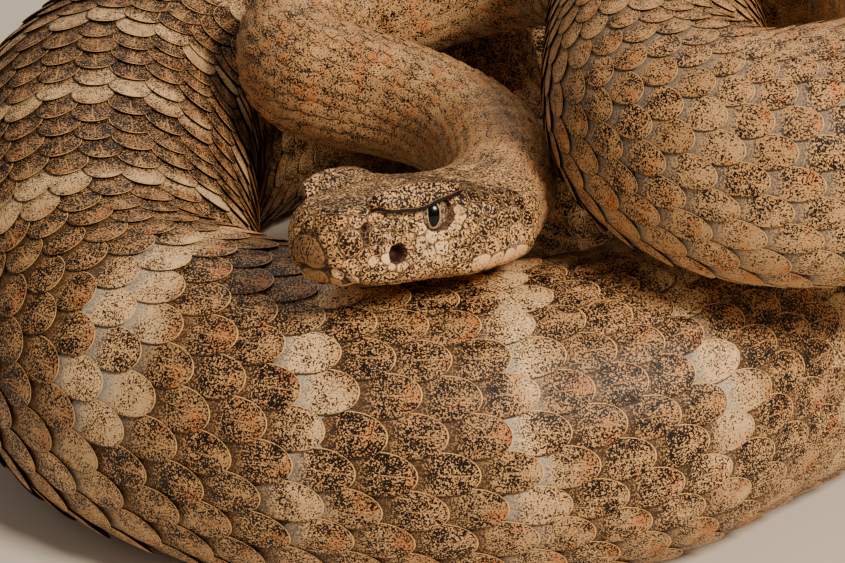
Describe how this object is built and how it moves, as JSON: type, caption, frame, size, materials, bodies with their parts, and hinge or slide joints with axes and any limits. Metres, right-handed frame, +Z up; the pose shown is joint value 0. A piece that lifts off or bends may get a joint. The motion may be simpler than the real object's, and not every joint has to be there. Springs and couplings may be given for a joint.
{
  "type": "coiled rattlesnake model",
  "caption": "Life-size still model of a tiger rattlesnake resting in its coil, head laid on the front loop, belly flat on the floor.",
  "frame": {"origin": "middle of the coil's footprint, on the floor", "axes": "+Z up; the head lies at the -Y side of the coil and points to -X and -Y; the rattle lies on the +Y side"},
  "size_m": [0.1635, 0.174, 0.0723],
  "materials": {
    "skin": "dry keeled scales, tan with dark peppered crossbands",
    "head_skin": "fine dry granular scales, peppered dark brown",
    "eye": "wet gloss, bronze iris with a black upright slit pupil",
    "rattle": "dry satin horn"
  },
  "bodies": {
    "root": {"eye_left": "eye", "eye_right": "eye", "head": "head_skin", "lower_jaw": "head_skin", "neck_01": "skin", "neck_02": "skin", "neck_03": "skin", "rattle": "rattle", "tail_01": "skin", "tail_02": "skin", "tail_03": "skin", "trunk_01": "skin", "trunk_02": "skin", "trunk_03": "skin", "trunk_04": "skin", "trunk_05": "skin", "trunk_06": "skin", "trunk_07": "skin", "trunk_08": "skin", "trunk_09": "skin", "trunk_10": "skin", "trunk_11": "skin", "trunk_12": "skin", "trunk_13": "skin", "trunk_14": "skin", "trunk_15": "skin", "trunk_16": "skin", "trunk_17": "skin", "trunk_18": "skin"}
  },
  "joints": []
}
